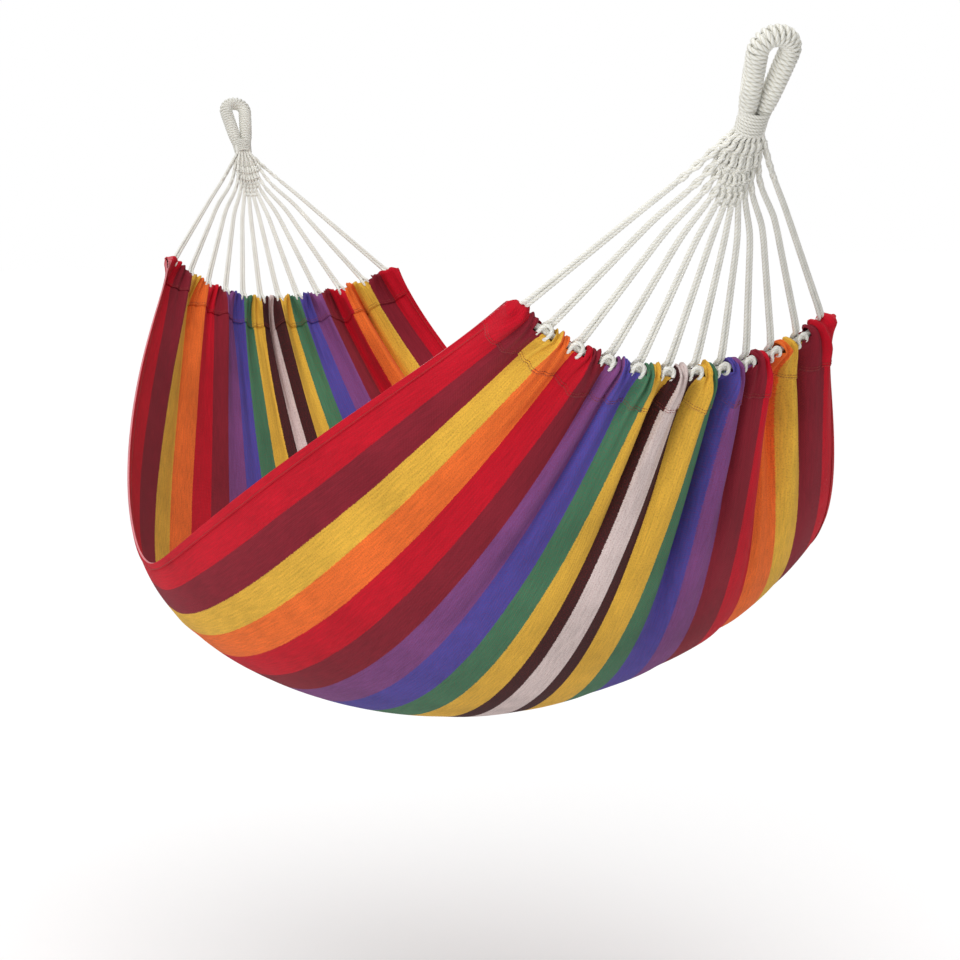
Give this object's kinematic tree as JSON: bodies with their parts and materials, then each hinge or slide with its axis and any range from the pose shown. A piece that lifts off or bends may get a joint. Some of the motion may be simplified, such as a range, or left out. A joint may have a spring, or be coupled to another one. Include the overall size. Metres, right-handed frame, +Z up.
{
  "type": "hammock",
  "caption": "Striped cotton hammock: a woven bed hung from two fans of doubled cords, each gathered to a whipped rope eye.",
  "frame": {"origin": "the point inside the near eye where its hook bears", "axes": "+Z up, +X along the hammock from the far eye to the near eye, +Y across the bed"},
  "size_m": [2.1486, 0.8012, 0.8717],
  "materials": {
    "bed_cloth": "woven cotton, lengthwise stripes",
    "hem_cloth": "woven cotton folded double and stitched",
    "cord": "twisted natural cotton cord",
    "eye_whipping": "close turns of natural cotton cord"
  },
  "bodies": {
    "eyes": {"near_eye_core": "cord", "near_eye_wrap": "eye_whipping", "near_neck_wrap": "eye_whipping", "far_eye_core": "cord", "far_eye_wrap": "eye_whipping", "far_neck_wrap": "eye_whipping"},
    "hammock": {"bed_cloth": "bed_cloth", "near_clew": "cord", "near_end_casing": "hem_cloth", "near_end_rope": "cord", "near_cord_01": "cord", "near_cord_02": "cord", "near_cord_03": "cord", "near_cord_04": "cord", "near_cord_05": "cord", "near_cord_06": "cord", "near_cord_07": "cord", "near_cord_08": "cord", "near_cord_09": "cord", "near_cord_10": "cord", "near_cord_11": "cord", "near_cord_12": "cord", "far_clew": "cord", "far_end_casing": "hem_cloth", "far_end_rope": "cord", "far_cord_01": "cord", "far_cord_02": "cord", "far_cord_03": "cord", "far_cord_04": "cord", "far_cord_05": "cord", "far_cord_06": "cord", "far_cord_07": "cord", "far_cord_08": "cord", "far_cord_09": "cord", "far_cord_10": "cord", "far_cord_11": "cord", "far_cord_12": "cord"}
  },
  "joints": [
    {"name": "swing", "type": "hinge", "parent": "eyes", "child": "hammock", "pos_m": [-0.05621, 0, -0.08028], "axis": [1, 0, 0], "range_deg": [-25, 25]}
  ]
}
